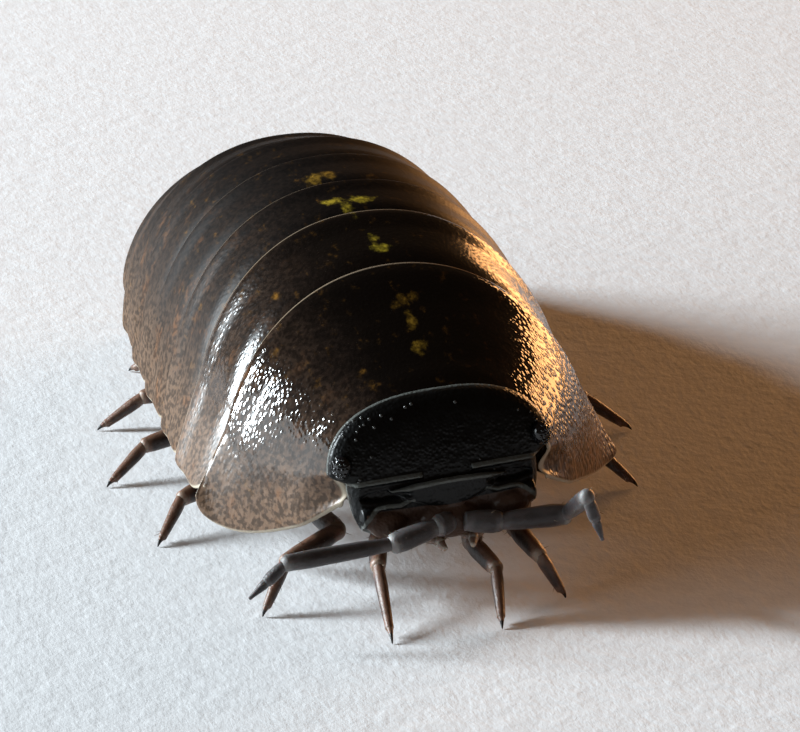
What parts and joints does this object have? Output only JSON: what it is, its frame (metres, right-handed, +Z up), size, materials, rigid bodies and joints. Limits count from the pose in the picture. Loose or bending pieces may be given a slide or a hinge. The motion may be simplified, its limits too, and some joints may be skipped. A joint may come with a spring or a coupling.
{
  "type": "pill woodlouse",
  "caption": "Life-size still model of a pill woodlouse standing on its legs, with an arched back of overlapping plates, a blunt head, jointed feelers and a short tail.",
  "frame": {"origin": "on the floor under the middle of the animal's box", "axes": "+Z up from the floor, +Y from the head towards the tail, +X towards the animal's left side"},
  "size_m": [0.0094, 0.0167, 0.0049],
  "materials": {
    "shell": "glossy dark slate-brown horny plate with a fine grain, ochre marks and pale rims",
    "head_shell": "satin black-grey horny plate with a thin pale rear rim",
    "limb": "satin translucent brown with pale joints",
    "feeler": "satin mauve-grey with pale joint rims",
    "eye": "shiny black cluster of small lenses",
    "mouth": "satin pale grey-brown"
  },
  "bodies": {
    "root": {"head": "head_shell", "eye_left": "eye", "eye_right": "eye", "antenna_left": "feeler", "antenna_right": "feeler", "flagellum_left": "feeler", "flagellum_right": "feeler", "maxilliped_left": "mouth", "maxilliped_right": "mouth", "pereonite_1": "shell", "pereonite_2": "shell", "pereonite_3": "shell", "pereonite_4": "shell", "pereonite_5": "shell", "pereonite_6": "shell", "pereonite_7": "shell", "pleonite_1": "shell", "pleonite_2": "shell", "pleonite_3": "shell", "pleonite_4": "shell", "pleonite_5": "shell", "telson": "shell", "uropod_left": "shell", "uropod_right": "shell", "pleopods_left": "mouth", "pleopods_right": "mouth", "leg_left_1": "limb", "leg_left_2": "limb", "leg_left_3": "limb", "leg_left_4": "limb", "leg_left_5": "limb", "leg_left_6": "limb", "leg_left_7": "limb", "leg_right_1": "limb", "leg_right_2": "limb", "leg_right_3": "limb", "leg_right_4": "limb", "leg_right_5": "limb", "leg_right_6": "limb", "leg_right_7": "limb"}
  },
  "joints": []
}
